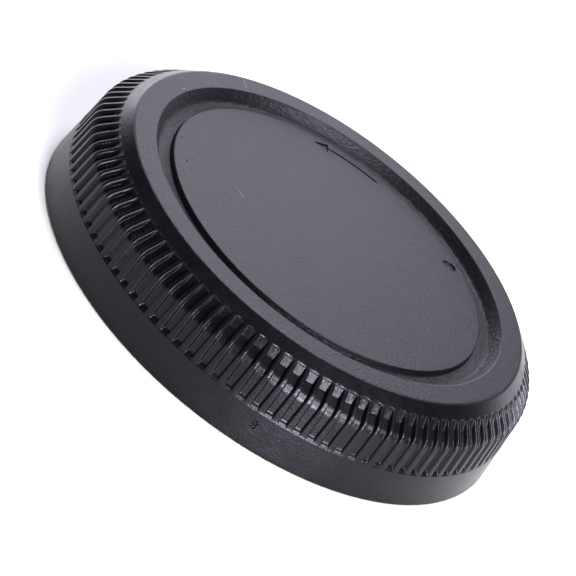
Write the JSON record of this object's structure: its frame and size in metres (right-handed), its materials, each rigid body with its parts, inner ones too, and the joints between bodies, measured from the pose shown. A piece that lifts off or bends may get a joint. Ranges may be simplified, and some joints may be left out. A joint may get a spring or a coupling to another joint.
{
  "type": "camera body cap",
  "caption": "Round moulded plastic cap that closes a camera's lens mount, with a grooved grip, a tapered skirt, a recessed face with a raised disc, and a bayonet boss underneath.",
  "frame": {"origin": "centre of the plane that the rim of the skirt rests on", "axes": "+Z out of the face, along the cap's axis; +X through the middle of one grip groove"},
  "size_m": [0.08, 0.08, 0.0152],
  "materials": {
    "cap_plastic": "fine matte grain on the face, satin on the skirt"
  },
  "bodies": {
    "root": {"body_cap": "cap_plastic"}
  },
  "joints": []
}
